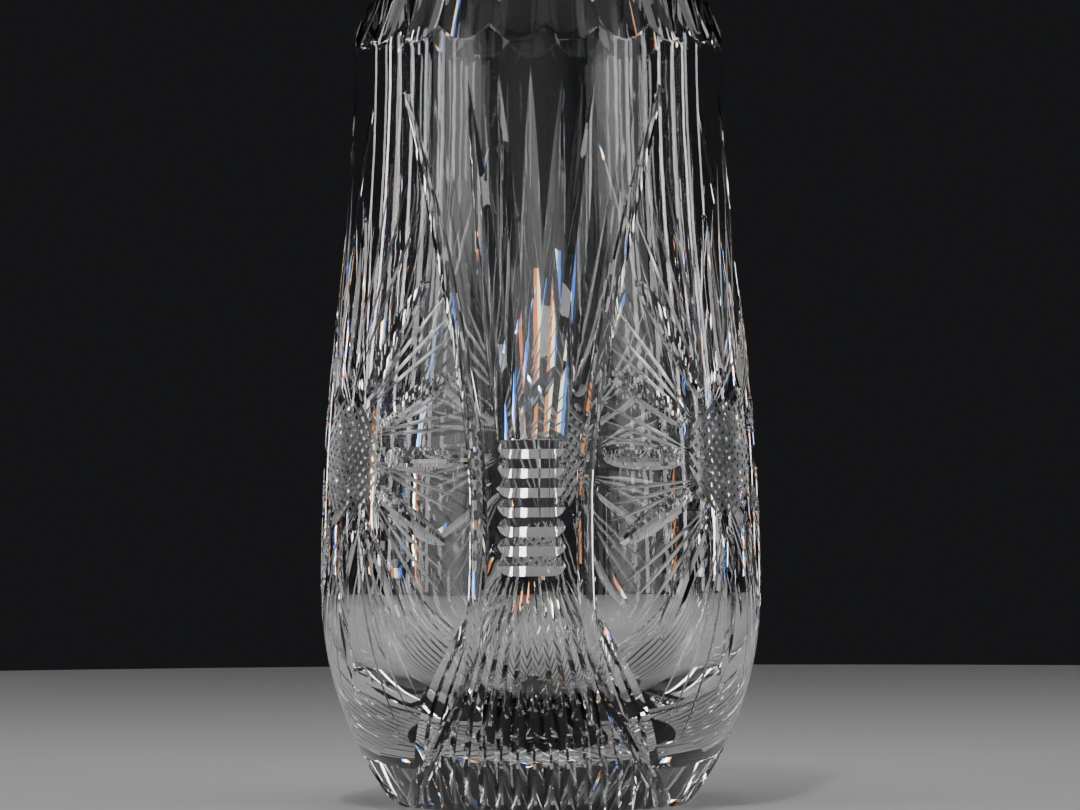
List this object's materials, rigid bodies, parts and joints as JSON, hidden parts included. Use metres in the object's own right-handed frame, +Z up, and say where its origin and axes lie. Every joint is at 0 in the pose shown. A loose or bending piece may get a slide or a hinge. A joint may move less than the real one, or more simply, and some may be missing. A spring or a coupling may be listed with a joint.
{
  "type": "cut crystal vase",
  "caption": "Tall waisted-barrel vase in thick clear crystal, with a scalloped rim, wheel-cut sheaves tied by level steps, and pinwheel stars.",
  "frame": {"origin": "middle of the flat foot, on the surface that the vase stands on", "axes": "+Z up along the vase's axis; the middle of the first sheaf faces -Y; +X to the right seen from there"},
  "size_m": [0.1396, 0.1396, 0.254],
  "materials": {
    "crystal": "clear lead crystal, fire polished, with wheel-cut and polished grooves"
  },
  "bodies": {
    "root": {"vase_body": "crystal"}
  },
  "joints": []
}
